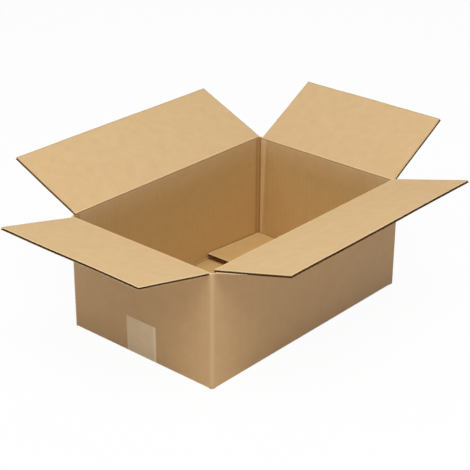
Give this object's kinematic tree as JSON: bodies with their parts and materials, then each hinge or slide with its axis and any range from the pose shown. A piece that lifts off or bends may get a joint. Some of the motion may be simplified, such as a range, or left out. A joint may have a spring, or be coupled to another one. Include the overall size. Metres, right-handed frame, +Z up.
{
  "type": "open cardboard box",
  "caption": "Open rectangular corrugated cardboard shipping box with hinged top flaps and a bottom closed by clear tape.",
  "frame": {"origin": "middle of the box's footprint at floor level, on the underside of the bottom tape", "axes": "+X along the long walls towards the end that is on the right seen from the front, +Y to the back, +Z up"},
  "size_m": [0.5622, 0.4381, 0.204],
  "materials": {
    "corrugated_board": "matt brown kraft liners over a fluted medium",
    "packing_tape": "clear satin film that shows the board through it"
  },
  "bodies": {
    "carton": {"box_body": "corrugated_board", "bottom_tape": "packing_tape"},
    "front_flap": {"front_flap": "corrugated_board"},
    "back_flap": {"back_flap": "corrugated_board"},
    "left_flap": {"left_flap": "corrugated_board"},
    "right_flap": {"right_flap": "corrugated_board"}
  },
  "joints": [
    {"name": "front_flap_crease", "type": "hinge", "parent": "carton", "child": "front_flap", "pos_m": [0, -0.1145, 0.15], "axis": [-1, 0, 0], "range_deg": [-73.4, 164.6]},
    {"name": "back_flap_crease", "type": "hinge", "parent": "carton", "child": "back_flap", "pos_m": [0, 0.1145, 0.15], "axis": [1, 0, 0], "range_deg": [-81.5, 156.5]},
    {"name": "left_flap_crease", "type": "hinge", "parent": "carton", "child": "left_flap", "pos_m": [-0.177, 0, 0.1468], "axis": [0, 1, 0], "range_deg": [-70.8, 167.2]},
    {"name": "right_flap_crease", "type": "hinge", "parent": "carton", "child": "right_flap", "pos_m": [0.177, 0, 0.1468], "axis": [0, -1, 0], "range_deg": [-87.3, 150.7]}
  ]
}
